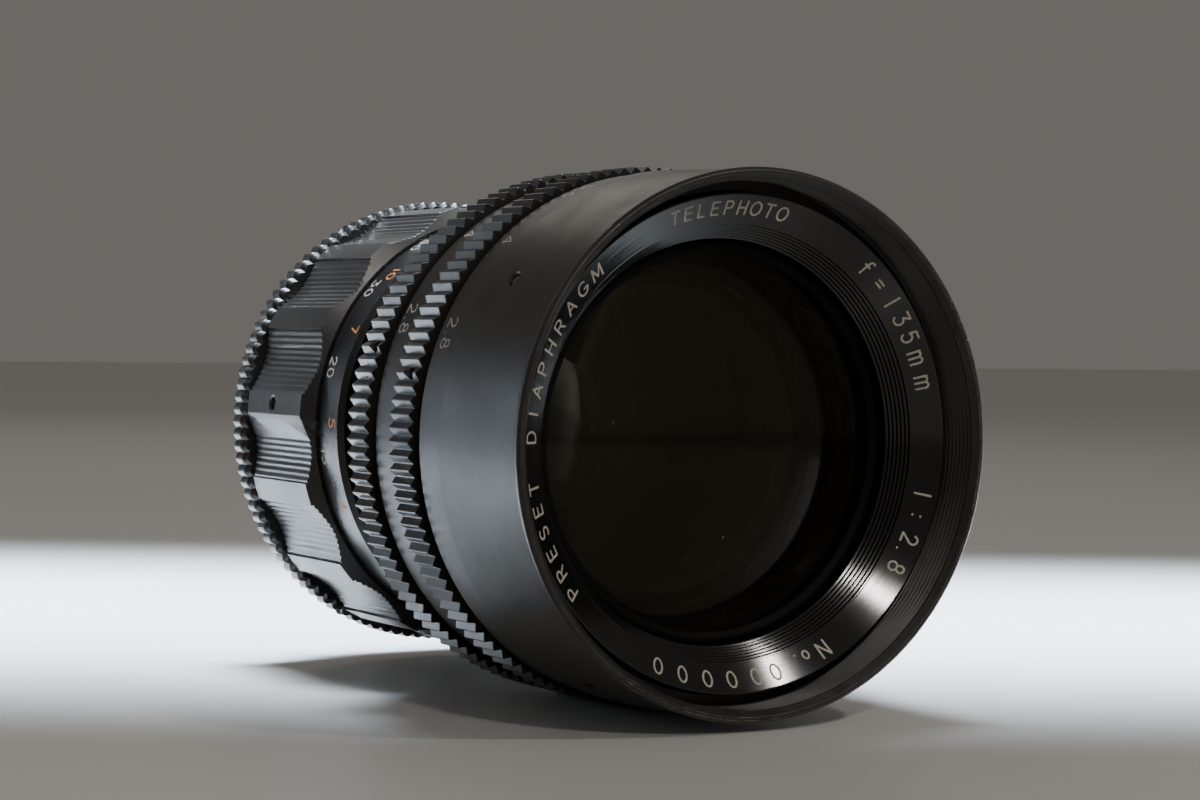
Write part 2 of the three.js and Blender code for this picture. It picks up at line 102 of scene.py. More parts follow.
def new_material(name):
    material = bpy.data.materials.new(name)
    material.use_nodes = True
    tree = material.node_tree
    shader = tree.nodes["Principled BSDF"]
    return material, tree, shader


def coordinates(tree, scale=(1, 1, 1)):
    coords = node(tree, "ShaderNodeTexCoord")
    return node(tree, "ShaderNodeMapping", i0=coords.outputs["Object"], i3=scale).outputs[0]


def noise(tree, scale, detail=3.0, rough=0.5, stretch=(1, 1, 1)):
    made = node(tree, "ShaderNodeTexNoise", Vector=coordinates(tree, stretch), Scale=scale,
                Detail=detail, Roughness=rough)
    return made.outputs[0]


def ramp(tree, value, low, high, start=(0, 0, 0, 1), end=(1, 1, 1, 1)):
    made = node(tree, "ShaderNodeValToRGB", Fac=value)
    first, last = made.color_ramp.elements
    first.position, last.position = low, high
    first.color, last.color = start, end
    return made.outputs[0]


def mix(tree, factor, first, second, blend="MIX"):
    made = tree.nodes.new("ShaderNodeMix")
    made.data_type = "RGBA"
    made.blend_type = blend
    for index, value in ((0, factor), (6, first), (7, second)):
        if isinstance(value, bpy.types.NodeSocket):
            tree.links.new(value, made.inputs[index])
        else:
            made.inputs[index].default_value = value
    return made.outputs[2]


def math_node(tree, operation, first, second=0.0):
    return node(tree, "ShaderNodeMath", {"operation": operation}, i0=first, i1=second).outputs[0]


def bump(tree, shader, height, strength, distance):
    made = node(tree, "ShaderNodeBump", Height=height, Strength=strength, Distance=distance * MM)
    tree.links.new(made.outputs[0], shader.inputs["Normal"])


def edge_wear(tree, amount):
    """White at worn edges: the mesh's own edge weight broken up by noise."""
    weight = node(tree, "ShaderNodeAttribute", {"attribute_name": "edge"}).outputs["Fac"]
    patches = ramp(tree, noise(tree, 900, 4, 0.6), 0.42, 0.62)
    fine = ramp(tree, noise(tree, 6000, 3, 0.6), 0.35, 0.6)
    worn = math_node(tree, "MULTIPLY", weight, patches)
    worn = math_node(tree, "MULTIPLY", worn, fine)
    return math_node(tree, "MULTIPLY", worn, amount)


def dust(tree, amount, scale=420.0, size=(0.03, 0.05), cover=(260, 0.55, 0.66)):
    """White at specks of dust. The cover is a noise scale and the range over which specks appear."""
    cells = node(tree, "ShaderNodeTexVoronoi", Vector=coordinates(tree), Scale=scale, Randomness=1.0)
    specks = ramp(tree, cells.outputs["Distance"], *size, (1, 1, 1, 1), (0, 0, 0, 1))
    some = ramp(tree, noise(tree, cover[0], 2), *cover[1:])
    return math_node(tree, "MULTIPLY", math_node(tree, "MULTIPLY", specks, some), amount)


def metal_black(name, color, roughness, grain, lines, worn=0.8, gleam=0.6):
    """Black anodised aluminium: fine grain, turning lines round the axis, worn edges and a little dust."""
    material, tree, shader = new_material(name)
    patches = ramp(tree, noise(tree, 55, 5, 0.6), 0.3, 0.75)
    deep = [c * 0.62 for c in color] + [1]
    tone = mix(tree, patches, deep, list(color) + [1])
    wear = edge_wear(tree, worn)
    bright = ramp(tree, noise(tree, 2500, 3), 0.3, 0.7)
    bare = mix(tree, bright, (0.34, 0.31, 0.27, 1), (0.72, 0.7, 0.66, 1))
    tone = mix(tree, wear, tone, bare)
    tone = mix(tree, dust(tree, 0.35), tone, (0.55, 0.53, 0.5, 1))
    tree.links.new(tone, shader.inputs["Base Color"])
    rough = ramp(tree, noise(tree, 130, 5, 0.65), 0.25, 0.8, [roughness * 0.8] * 3 + [1],
                 [min(1, roughness * 1.25)] * 3 + [1])
    tree.links.new(rough, shader.inputs["Roughness"])
    shader.inputs["Specular IOR Level"].default_value = gleam
    speckle = noise(tree, 9000, 2, 0.5)
    rings = noise(tree, 60, 2, 0.6, (1, 90, 1))
    height = math_node(tree, "ADD", math_node(tree, "MULTIPLY", speckle, grain),
                       math_node(tree, "MULTIPLY", rings, lines))
    bump(tree, shader, height, 0.5, 0.02)
    return material


def bare_metal(name, dark, light, roughness, lines=0.5):
    """Turned steel or brass with fine lines and stains."""
    material, tree, shader = new_material(name)
    stains = ramp(tree, noise(tree, 700, 5, 0.6), 0.3, 0.75)
    tone = mix(tree, stains, list(dark) + [1], list(light) + [1])
    tree.links.new(tone, shader.inputs["Base Color"])
    shader.inputs["Metallic"].default_value = 1.0
    rough = ramp(tree, noise(tree, 500, 4), 0.2, 0.8, [roughness * 0.75] * 3 + [1],
                 [roughness * 1.4] * 3 + [1])
    tree.links.new(rough, shader.inputs["Roughness"])
    bump(tree, shader, noise(tree, 120, 2, 0.6, (1, 60, 1)), lines, 0.01)
    return material


def paint(name, color, shade):
    """Paint in an engraved character: uneven, chipped and a little dirty."""
    material, tree, shader = new_material(name)
    chips = ramp(tree, noise(tree, 3200, 4, 0.7), 0.3, 0.62)
    tone = mix(tree, chips, list(shade) + [1], list(color) + [1])
    tree.links.new(tone, shader.inputs["Base Color"])
    shader.inputs["Roughness"].default_value = 0.6
    bump(tree, shader, noise(tree, 5000, 3), 0.4, 0.02)
    return material


def coated_glass(name, tint, reflection, specks):
    """Clear glass with a coloured anti-reflection coating and specks of dust."""
    material, tree, shader = new_material(name)
    dirt = dust(tree, specks, 240.0, (0.02, 0.035), (180, 0.5, 0.62))
    tree.links.new(mix(tree, dirt, list(tint) + [1], (0.5, 0.46, 0.4, 1)), shader.inputs["Base Color"])
    tree.links.new(math_node(tree, "SUBTRACT", 1.0, dirt), shader.inputs["Transmission Weight"])
    shader.inputs["Roughness"].default_value = 0.0
    shader.inputs["IOR"].default_value = 1.52
    shader.inputs["Specular Tint"].default_value = list(reflection) + [1]
    return material


SATIN = metal_black("satin_black", (0.030, 0.026, 0.023), 0.40, grain=0.3, lines=0.1)
SATIN_FINE = metal_black("satin_black_fine", (0.012, 0.011, 0.011), 0.30, grain=0.1, lines=0.2, worn=0.9)
KNURL = metal_black("knurl_black", (0.020, 0.019, 0.019), 0.32, grain=0.12, lines=0.3, worn=0.6)
GLOSS = metal_black("gloss_black", (0.006, 0.006, 0.006), 0.13, grain=0.03, lines=0.7, worn=0.5)
MATT = metal_black("matt_black", (0.004, 0.004, 0.004), 0.6, grain=0.1, lines=0.1, worn=0.0, gleam=0.1)
STEEL = bare_metal("dark_steel", (0.06, 0.055, 0.05), (0.30, 0.29, 0.28), 0.35)
BRIGHT = bare_metal("bright_steel", (0.4, 0.39, 0.38), (0.62, 0.6, 0.58), 0.3)
BRASS = bare_metal("turned_brass", (0.35, 0.22, 0.08), (0.62, 0.45, 0.2), 0.3)
BLADE = bare_metal("blade_steel", (0.012, 0.012, 0.013), (0.03, 0.031, 0.034), 0.4, 0.2)
WHITE = paint("white_paint", (0.50, 0.47, 0.40), (0.14, 0.12, 0.10))
CREAM = paint("cream_paint", (0.60, 0.55, 0.46), (0.36, 0.33, 0.28))
ORANGE = paint("orange_paint", (0.62, 0.24, 0.05), (0.26, 0.10, 0.03))
FRONT_GLASS = coated_glass("front_glass", (0.80, 0.78, 0.72), (0.34, 0.27, 0.20), 0.6)
INNER_GLASS = coated_glass("inner_glass", (0.70, 0.68, 0.63), (0.13, 0.11, 0.11), 0.0)

# ------------------------------------------------------------------ mesh making

ROUND_STEPS = 3
ROUND = 0.12
LONG_SIDE = 0.8
SUPPORT = 0.05
SHARP = 32
FULL_ROUND = 240


def soften(outline, default=ROUND):
    """Rounds the corners of a closed (axial, radius[, corner radius]) outline.
    Returns (axial, radius, edge weight); the weight is 1 on a rounded outside corner.
    A long side gets a support point beside each of its corners, which keeps its shading flat."""
    area = 0
    for (a, r, *_), (b, s, *_) in zip(outline, outline[1:] + outline[:1]):
        area += a * s - b * r
    points = []
    for index, (a, r, *own) in enumerate(outline):
        size = own[0] if own else default
        if size == 0:
            points.append((a, r, 0.0))
            continue
        here = Vector((a, r))
        back = Vector(outline[index - 1][:2]) - here
        ahead = Vector(outline[(index + 1) % len(outline)][:2]) - here
        turn = ahead.x * back.y - ahead.y * back.x
        outside = turn * area > 0
        half = max(back.angle(ahead), 0.05) / 2
        reach = min(size / math.tan(half) if half < 1.56 else size, 0.45 * back.length, 0.45 * ahead.length)
        start, end = here + back.normalized() * reach, here + ahead.normalized() * reach
        if back.length > LONG_SIDE:
            points.append((*(start + back.normalized() * SUPPORT), 0.0))
        for step in range(ROUND_STEPS + 1):
            t = step / ROUND_STEPS
            place = start.lerp(here, t).lerp(here.lerp(end, t), t)
            points.append((place.x, place.y, 1.0 if outside and 0 < step < ROUND_STEPS else 0.0))
        if ahead.length > LONG_SIDE:
            points.append((*(end + ahead.normalized() * SUPPORT), 0.0))
    return points


def finish_mesh(name, vertices, faces, material, sharp=SHARP, weights=None):
    mesh = bpy.data.meshes.new(name)
    mesh.from_pydata(vertices, [], faces)
    if weights is not None:
        attribute = mesh.attributes.new("edge", "FLOAT", "POINT")
        attribute.data.foreach_set("value", weights)
    tidy = bmesh.new()
    tidy.from_mesh(mesh)
    bmesh.ops.remove_doubles(tidy, verts=tidy.verts, dist=1e-7)
    bmesh.ops.recalc_face_normals(tidy, faces=tidy.faces)
    tidy.to_mesh(mesh)
    tidy.free()
    mesh.materials.append(material)
    mesh.shade_smooth()
    mesh.set_sharp_from_angle(angle=math.radians(sharp))
    piece = bpy.data.objects.new(name, mesh)
    bpy.context.scene.collection.objects.link(piece)
    return piece


def even(count):
    return [360 * i / count for i in range(count)]


def spin(name, outline, material, angles, wear, sharp=SHARP):
    """A body turned about the axis. The outline is a list, or a function of the angle for knurls
    and threads. The wear is a function of the angle: how worn the outside edges are there."""
    vertices, weights = [], []
    for angle in angles:
        section = outline(angle) if callable(outline) else outline
        strength = wear(angle)
        for axial, radius, edge in soften(section):
            vertices.append(point(axial, radius, angle))
            weights.append(edge * strength)
    count = len(vertices) // len(angles)
    faces = []
    for i in range(len(angles)):
        j = (i + 1) % len(angles)
        for k in range(count):
            m = (k + 1) % count
            faces.append((i * count + k, i * count + m, j * count + m, j * count + k))
    return finish_mesh(name, vertices, faces, material, sharp, weights)


def steady(strength):
    """The same wear all the way round."""
    return lambda angle: strength


def drilled(piece, tools):
    """Cuts the tool meshes out of a piece."""
    bpy.context.view_layer.update()
    for tool in tools:
        cut = piece.modifiers.new("hole", "BOOLEAN")
        cut.object, cut.solver = tool, "EXACT"
        evaluated = piece.evaluated_get(bpy.context.evaluated_depsgraph_get())
        holed = bpy.data.meshes.new_from_object(evaluated)
        piece.modifiers.clear()
        piece.data = holed
    for tool in tools:
        bpy.data.objects.remove(tool)
    piece.data.set_sharp_from_angle(angle=math.radians(SHARP))
    return piece


def peg(name, profile, axial, angle, material, sides=32):
    """A small round body standing radially. Its profile lists (height above the axis, own radius)."""
    out = (point(0, 1, angle) - point(0, 0, angle)).normalized()
    along = Vector((0, 1, 0))
    across = out.cross(along)
    vertices, faces = [], []
    for height, radius in profile:
        middle = point(axial, height, angle)
        for i in range(sides):
            turn = 2 * math.pi * i / sides
            vertices.append(middle + (along * math.cos(turn) + across * math.sin(turn)) * radius * MM)
    for k in range(len(profile) - 1):
        for i in range(sides):
            j = (i + 1) % sides
            faces.append((k * sides + i, k * sides + j, (k + 1) * sides + j, (k + 1) * sides + i))
    faces.append(tuple(range(sides)))
    faces.append(tuple(reversed(range((len(profile) - 1) * sides, len(profile) * sides))))
    return finish_mesh(name, vertices, faces, material)


DRILL_CLEAR = 2.0
COUNTERSINK = 0.18
SCREW_LENGTH = 1.6
SLOT_WIDTH, SLOT_DEPTH = 0.34, 0.7


def holes(screws, radius, bottom, surface):
    """Drills for a ring's screw holes, each with a small countersink at the ring's surface."""
    tools = []
    for screw in screws:
        axial, angle, _ = polar(screw)
        profile = [(bottom, radius), (surface - COUNTERSINK, radius), (surface + 0.4, radius + 0.58),
                   (surface + DRILL_CLEAR, radius + 0.6)]
        tools.append(peg("drill", profile, axial, angle, MATT, 28))
    return tools


def slotted_screw(node_name, body, top, radius, material):
    """A slotted set screw that replaces a CAD screw, with its top at the given radius."""
    axial, angle, _ = polar(node_name)
    profile = [(top - SCREW_LENGTH, radius * 0.9), (top - 0.18, radius * 0.97), (top, radius * 0.86)]
    screw = peg(node_name + "_slotted", profile, axial, angle, material)
    rng = random.Random(node_name)
    slot = bpy.data.meshes.new("slot")
    maker = bmesh.new()
    bmesh.ops.create_cube(maker, size=1.0)
    maker.to_mesh(slot)
    maker.free()
    cutter = bpy.data.objects.new("slot", slot)
    bpy.context.scene.collection.objects.link(cutter)
    outwards = Matrix.Rotation(math.radians(angle), 4, "Y")
    turned = Matrix.Rotation(rng.uniform(0, math.pi), 4, "Z")
    size = Matrix.Diagonal((radius * 3 * MM, radius * SLOT_WIDTH * MM, SLOT_DEPTH * MM, 1))
    cutter.matrix_world = Matrix.Translation(point(axial, top, angle)) @ outwards @ turned @ size
    settle(drilled(screw, [cutter]), body, "steel", node_name)


def settle(piece, body, slot, *nodes):
    """Puts a piece on its body and hides the CAD nodes it replaces. The slot is not used."""
    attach(piece, body)
    if nodes:
        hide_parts(*nodes)
    return piece


def thread(axial, angle, pitch, depth):
    """How far a thread's surface lies below its crest at one place."""
    phase = (axial / pitch - angle / 360) % 1
    return depth * (1 - abs(2 * phase - 1))


def thread_run(start, end, crest, pitch, depth, angle, inside=False, per_turn=12):
    """Outline points along a thread from start to end. An inside thread cuts outwards."""
    steps = int(abs(end - start) / pitch * per_turn)
    run = []
    for i in range(steps + 1):
        axial = start + (end - start) * i / steps
        fade = min(1, i / 3, (steps - i) / 3)
        cut = thread(axial, angle, pitch, depth) * fade
        run.append((axial, crest + cut if inside else crest - cut, 0))
    return run


def teeth_angles(count, marks, first=0.0):
    """Angles at the given fractions of every tooth's pitch."""
    return [first + 360 * (i + mark) / count for i in range(count) for mark in marks]


def tooth_depth(angle, count, flat, first=0.0):
    """0 on a ridge's narrow flat, 1 in the groove between two ridges."""
    phase = ((angle - first) * count / 360) % 1
    from_ridge = min(phase, 1 - phase)
    return max(0.0, min(1.0, (from_ridge - flat) / (0.5 - 2 * flat)))


# ------------------------------------------------------------------ engraved characters
# Each character is a set of strokes in a box one unit high, as a round-tipped cutter draws it.

def arc(cx, cy, rx, ry, start, end, steps=14):
    turns = [math.radians(start + (end - start) * i / steps) for i in range(steps + 1)]
    return [(cx + rx * math.cos(turn), cy + ry * math.sin(turn)) for turn in turns]


# Each entry is the character's width and its strokes.
GLYPHS = {
    "0": (0.62, [arc(0.31, 0.5, 0.29, 0.5, 90, 450, 28)]),
    "1": (0.16, [[(0.08, 0), (0.08, 1)]]),
    "2": (0.60, [arc(0.29, 0.72, 0.27, 0.28, 165, -35) + [(0.02, 0), (0.58, 0)]]),
    "3": (0.58, [[(0.02, 1), (0.5, 1), (0.24, 0.6)] + arc(0.26, 0.3, 0.3, 0.3, 80, -150)]),
    "4": (0.64, [[(0.46, 0), (0.46, 1), (0.0, 0.3), (0.62, 0.3)]]),
    "5": (0.58, [[(0.52, 1), (0.12, 1), (0.07, 0.56)] + arc(0.27, 0.33, 0.29, 0.33, 115, -150)]),
    "6": (0.60, [arc(0.66, 0.34, 0.64, 0.66, 105, 180) + arc(0.30, 0.30, 0.28, 0.30, 180, 540, 24)]),
    "7": (0.56, [[(0.0, 1), (0.54, 1), (0.2, 0)]]),
    "8": (0.60, [arc(0.30, 0.76, 0.22, 0.24, -90, 270, 24), arc(0.30, 0.26, 0.28, 0.26, 90, 450, 24)]),
    ".": (0.12, [[(0.05, 0.0), (0.07, 0.0)]]),
    ":": (0.12, [[(0.05, 0.18), (0.07, 0.18)], [(0.05, 0.68), (0.07, 0.68)]]),
    "=": (0.46, [[(0.0, 0.36), (0.44, 0.36)], [(0.0, 0.62), (0.44, 0.62)]]),
    "f": (0.42, [arc(0.34, 0.78, 0.18, 0.22, 60, 180) + [(0.16, 0)], [(0.0, 0.62), (0.36, 0.62)]]),
    "t": (0.36, [[(0.16, 0.95), (0.16, 0.16)] + arc(0.30, 0.16, 0.14, 0.16, 180, 290),
                 [(0.0, 0.66), (0.34, 0.66)]]),
    "m": (0.74, [[(0, 0), (0, 0.78)], arc(0.18, 0.58, 0.18, 0.2, 180, 0) + [(0.36, 0)],
                 arc(0.54, 0.58, 0.18, 0.2, 180, 0) + [(0.72, 0)]]),
    "o": (0.44, [arc(0.22, 0.25, 0.2, 0.25, 90, 450, 20)]),
    "~": (1.00, [arc(0.25, 0.4, 0.24, 0.24, 45, 315, 18) + arc(0.75, 0.4, 0.24, 0.24, -135, 135, 18)
                 + [(0.42, 0.23)]]),
    "T": (0.60, [[(0, 1), (0.6, 1)], [(0.3, 1), (0.3, 0)]]),
    "E": (0.52, [[(0.52, 1), (0, 1), (0, 0), (0.52, 0)], [(0, 0.52), (0.44, 0.52)]]),
    "L": (0.48, [[(0, 1), (0, 0), (0.48, 0)]]),
    "P": (0.54, [[(0, 0), (0, 1), (0.3, 1)] + arc(0.3, 0.74, 0.24, 0.26, 90, -90) + [(0, 0.48)]]),
    "H": (0.60, [[(0, 0), (0, 1)], [(0.6, 0), (0.6, 1)], [(0, 0.5), (0.6, 0.5)]]),
    "O": (0.78, [arc(0.39, 0.5, 0.38, 0.5, 90, 450, 30)]),
    "R": (0.58, [[(0, 0), (0, 1), (0.3, 1)] + arc(0.3, 0.75, 0.24, 0.25, 90, -90) + [(0, 0.5)],
                 [(0.3, 0.5), (0.56, 0)]]),
    "S": (0.56, [arc(0.28, 0.75, 0.26, 0.25, 40, 270) + arc(0.28, 0.25, 0.27, 0.25, 90, -140)]),
    "N": (0.60, [[(0, 0), (0, 1), (0.6, 0), (0.6, 1)]]),
    "D": (0.62, [[(0.26, 0), (0, 0), (0, 1), (0.26, 1)] + arc(0.26, 0.5, 0.34, 0.5, 90, -90)]),
    "I": (0.10, [[(0.05, 0), (0.05, 1)]]),
    "A": (0.66, [[(0, 0), (0.33, 1), (0.66, 0)], [(0.12, 0.34), (0.54, 0.34)]]),
    "G": (0.74, [arc(0.38, 0.5, 0.37, 0.5, 50, 350, 26) + [(0.44, 0.42)]]),
    "M": (0.76, [[(0, 0), (0.06, 1), (0.38, 0.15), (0.7, 1), (0.76, 0)]]),
}


STROKE_SPACING = 0.12
SUNK, EDGE, CROWN = -0.04, 0.004, 0.016


def resampled(stroke, spacing):
    """The stroke with points close enough together to follow a curved surface."""
    points = [Vector(stroke[0])]
    for start, end in zip(stroke, stroke[1:]):
        start, end = Vector(start), Vector(end)
        steps = max(1, math.ceil((end - start).length / spacing))
        points += [start.lerp(end, i / steps) for i in range(1, steps + 1)]
    return points


def stroke_solid(stroke, width, to_surface, vertices, faces):
    """Adds one paint-filled stroke: a closed strip with round ends, just proud of the surface."""
    centre = resampled(stroke, STROKE_SPACING)
    half = width / 2
    sections = []
    for index, place in enumerate(centre):
        before, after = centre[max(0, index - 1)], centre[min(len(centre) - 1, index + 1)]
        ahead = (after - before).normalized()
        sections.append((place, ahead, half))
    first, last = sections[0], sections[-1]
    for turn in (30, 60, 84):
        back = half * math.sin(math.radians(turn))
        narrow = half * math.cos(math.radians(turn))
        sections.insert(0, (first[0] - first[1] * back, first[1], narrow))
        sections.append((last[0] + last[1] * back, last[1], narrow))
    base = len(vertices)
    profile = ((-1, SUNK), (-1, EDGE), (0, CROWN), (1, EDGE), (1, SUNK))
    count = len(profile)
    for place, ahead, reach in sections:
        side = Vector((-ahead.y, ahead.x))
        for offset, height in profile:
            flat = place + side * reach * offset
            vertices.append(to_surface(flat.x, flat.y, height))
    for i in range(len(sections) - 1):
        for k in range(count):
            m = (k + 1) % count
            a, b = base + i * count, base + (i + 1) * count
            faces.append((a + k, a + m, b + m, b + k))
    faces.append(tuple(base + k for k in range(count)))
    end = base + (len(sections) - 1) * count
    faces.append(tuple(end + count - 1 - k for k in range(count)))


def text_width(text, height, space):
    return height * (sum(GLYPHS[c][0] for c in text) + space * (len(text) - 1))


def engrave(name, labels, surface, material, body, slot):
    """One piece holding several labels. A label is (text, angle of its middle, place, height,
    stroke width, space between characters); the surface says what its place means."""
    vertices, faces = [], []
    for text, angle, place, height, stroke_width, space in labels:
        cursor = -text_width(text, height, space) / 2
        for character in text:
            width, strokes = GLYPHS[character]
            for stroke in strokes:
                shifted = [(cursor + x * height, (y - 0.5) * height) for x, y in stroke]
                stroke_solid(shifted, stroke_width, surface(angle, place), vertices, faces)
            cursor += (width + space) * height
    piece = finish_mesh(name, vertices, faces, material, 60)
    return settle(piece, body, slot)


def on_band(radius):
    """Characters on a band: they read down the left side, with their tops towards the front."""
    def surface(angle, place):
        return lambda u, v, h: point(place - v, radius + h, angle - math.degrees(u / radius))
    return surface


def on_cone(start, end):
    """Characters round a cone between two (axial, radius) points: clockwise, with their tops outwards."""
    slope = (Vector(start) - Vector(end)).normalized()
    normal = Vector((-slope.y, slope.x))
    if normal.x > 0:
        normal = -normal
    def surface(angle, place):
        middle = Vector(start) - slope * place
        def to_point(u, v, h):
            spot = middle + slope * v + normal * h
            return point(spot.x, spot.y, angle + math.degrees(u / middle.y))
        return to_point
    return surface


# ------------------------------------------------------------------ front barrel and name ring

def bumps(angle, places, base):
    """Edge wear round a ring: a low base with stronger stretches as (angle, width, strength)."""
    value = base
    for middle, width, strength in places:
        away = (angle - middle + 180) % 360 - 180
        value += strength * math.exp(-(away / width) ** 2)
    return min(1.0, value)


FILTER_CREST = 31.75
FILTER_ROOT = 32.1
FILTER_DEPTH = 0.45
FILTER_PITCH = 0.75
FILTER_END = 7.0
HEAD_BORE = 30.65
BARREL_FRONT, BARREL_BACK = 33.0, 33.7
BARREL_FLARE = 1.4
BARREL_EDGE = 0.12
BARREL_SCREW_TOP = 33.05
HOLE_MARGIN = 1.8
BARREL_SCREWS = [f"barrel_screw_{i}" for i in (1, 2, 3)]


def front_barrel():
    end = span("front_barrel")[1]
    chips = random.Random(7)
    nicks = []
    for middle, spread, widest, deepest, count in ((96, 22, 2.2, 0.16, 26), (-170, 16, 2.0, 0.13, 14)):
        for _ in range(count):
            nicks.append((chips.gauss(middle, spread), chips.uniform(0.6, widest),
                          chips.uniform(0.03, deepest)))
    hole = polar(BARREL_SCREWS[0])[0]
    before, after = hole - HOLE_MARGIN, hole + HOLE_MARGIN

    def outside(axial):
        along = (axial - BARREL_FLARE) / (end - BARREL_EDGE - BARREL_FLARE)
        return BARREL_FRONT + (BARREL_BACK - BARREL_FRONT) * along

    def worn_away(angle):
        depth = 0.0
        for middle, width, size in nicks:
            away = (angle - middle + 180) % 360 - 180
            depth = max(depth, size * math.exp(-(away / width) ** 4))
        return depth

    def outline(angle):
        crests = thread_run(FILTER_END - 0.4, 1.15, FILTER_CREST, FILTER_PITCH, FILTER_DEPTH, angle,
                            inside=True)
        chip = worn_away(angle)
        rim = [(0, 32.45, 0.08), (0, 32.85, 0.2), (0.45, 33.28, 0.25), (BARREL_FLARE, BARREL_FRONT, 0.15)]
        barrel = [(before, outside(before), 0), (after, outside(after), 0),
                  (end - BARREL_EDGE, BARREL_BACK, 0.05), (end, BARREL_BACK - BARREL_EDGE, 0.04)]
        bore = [(end, HEAD_BORE, 0.05), (FILTER_END, HEAD_BORE, 0), (FILTER_END, FILTER_ROOT, 0),
                (FILTER_END - 0.3, FILTER_ROOT, 0)]
        mouth = [(1.1, 31.8, 0), (0.85 + chip * 0.6, FILTER_CREST + chip, 0.04), (0.6, 31.98 + chip, 0.05)]
        return rim + barrel + bore + crests + mouth

    worn = [(95, 16, 0.9), (62, 9, 0.5), (-172, 12, 0.9), (-148, 6, 0.6), (140, 8, 0.4), (-40, 5, 0.5)]
    shell = spin("front_barrel_shell", outline, SATIN, even(360), lambda a: bumps(a, worn, 0.22))
    shell = drilled(shell, holes(BARREL_SCREWS, 0.95, 29.5, 33.4))
    settle(shell, "head", "black_anodised", "front_barrel")
    for screw in BARREL_SCREWS:
        slotted_screw(screw, "head", BARREL_SCREW_TOP, 0.88, BRIGHT)


front_barrel()

CONE_FRONT = (4.5, 30.1)
CONE_STEP = (6.63, 26.85)
CONE_BACK = (10.1, 24.95)
CONE_STEPS = 7
NAME_RING_END = 11.3
LETTERS_MIDDLE = 1.84
LETTER_HEIGHT, TITLE_HEIGHT = 2.07, 1.8
LETTER_STROKE = 0.27
NAME_RING_TEXT = (
    ("TELEPHOTO", [-19.4 + 3.9 * i for i in range(9)]),
    ("f=135mm", (40.4, 46.2, 52.1, 57.3, 62.4, 68.1, 74.7)),
    ("1:2.8", (103.4, 109.0, 115.3, 118.6, 123.4)),
    ("No.", (153.1, 158.1, 161.0)),
    ("000000", (168.1, 173.8, 180.9, 187.9, 195.2, 202.5)),
    ("PRESET", [-127.0 + 5.4 * i for i in range(6)]),
    ("DIAPHRAGM", [-88.0 + 5.4 * i for i in range(9)]),
)


def name_ring():
    axial_step = (CONE_BACK[0] - CONE_STEP[0]) / CONE_STEPS
    radial_step = (CONE_STEP[1] - CONE_BACK[1]) / CONE_STEPS
    stairs = []
    for i in range(CONE_STEPS):
        axial, radius = CONE_STEP[0] + i * axial_step, CONE_STEP[1] - i * radial_step
        stairs += [(axial, radius, 0.04), (axial + axial_step * 0.3, radius - radial_step * 0.95, 0.03),
                   (axial + axial_step * 0.55, radius - radial_step * 0.98, 0.03)]
    outline = [(NAME_RING_END, 30.3), (CONE_FRONT[0], 30.3, 0.03), CONE_FRONT + (0.03,)] + stairs + [
        (CONE_BACK[0], 24.9, 0.03), (NAME_RING_END, 24.9, 0.05)]
    ring = spin("name_ring_stepped", outline, GLOSS, even(360), steady(0.1), sharp=25)
    settle(ring, "head", "black_anodised", "name_ring")
    letters = []
    for text, places in NAME_RING_TEXT:
        size = TITLE_HEIGHT if text == "TELEPHOTO" else LETTER_HEIGHT
        for character, angle in zip(text, places):
            letters.append((character, angle, LETTERS_MIDDLE, size, LETTER_STROKE, 0))
    cone = on_cone(CONE_FRONT, CONE_STEP)
    engrave("name_ring_characters", letters, cone, CREAM, "head", "scale_white")


name_ring()

# ------------------------------------------------------------------ preset ring and aperture ring

TEETH = 125
TOOTH_MARKS = (-0.05, 0.05, 0.46, 0.54)
TOOTH_CHAMFER = 0.08
KNURL_FOOT = 32.7
BAND_CHAMFER = 0.12
STOPS = (("2.8", 0), ("4", 24.0), ("5.6", 44.0), ("8", 62.5), ("11", 78.5), ("16", 93.0), ("22", 106.0))
STOP_HEIGHT, STOP_STROKE, STOP_SPACE = 2.15, 0.18, 0.28


def knurled_ring(body, band, band_end, valley, knurl_start):
    """A ring with a smooth band in front, a groove, and V teeth behind it."""
    start, end = span(body)
    ridge = outer_radius(body)
    screws = [f"{body}_screw_{i}" for i in (1, 2, 3)]
    first = polar(screws[0])[1]

    def outline(angle):
        top = ridge - (ridge - valley) * tooth_depth(angle, TEETH, TOOTH_MARKS[1], first)
        front = [(start, HEAD_BORE, 0), (start, band - BAND_CHAMFER, 0.02),
                 (start + BAND_CHAMFER, band, 0.04), (band_end, band, 0.05),
                 (band_end, KNURL_FOOT, 0.03), (knurl_start, KNURL_FOOT, 0.03)]
        tooth = [(knurl_start, top - TOOTH_CHAMFER, 0.01), (knurl_start + TOOTH_CHAMFER, top, 0.02),
                 (end - TOOTH_CHAMFER, top, 0.02), (end, top - TOOTH_CHAMFER, 0.01)]
        return front + tooth + [(end, HEAD_BORE, 0)]

    worn = [(-80, 30, 0.35), (40, 25, 0.3), (170, 40, 0.4)]
    angles = teeth_angles(TEETH, TOOTH_MARKS, first)
    ring = spin(body + "_knurled", outline, KNURL, angles, lambda a: bumps(a, worn, 0.2), 25)
    ring.data.materials.append(SATIN)
    for face in ring.data.polygons:
        if (face.center.y - FRONT_Y) / MM < (band_end + knurl_start) / 2:
            face.material_index = 1
    ring = drilled(ring, holes(screws, 0.78, 30.9, ridge - 0.3))
    settle(ring, body, "black_anodised", body)
    for screw in screws:
        slotted_screw(screw, body, ridge - 1.15, 0.74, STEEL)


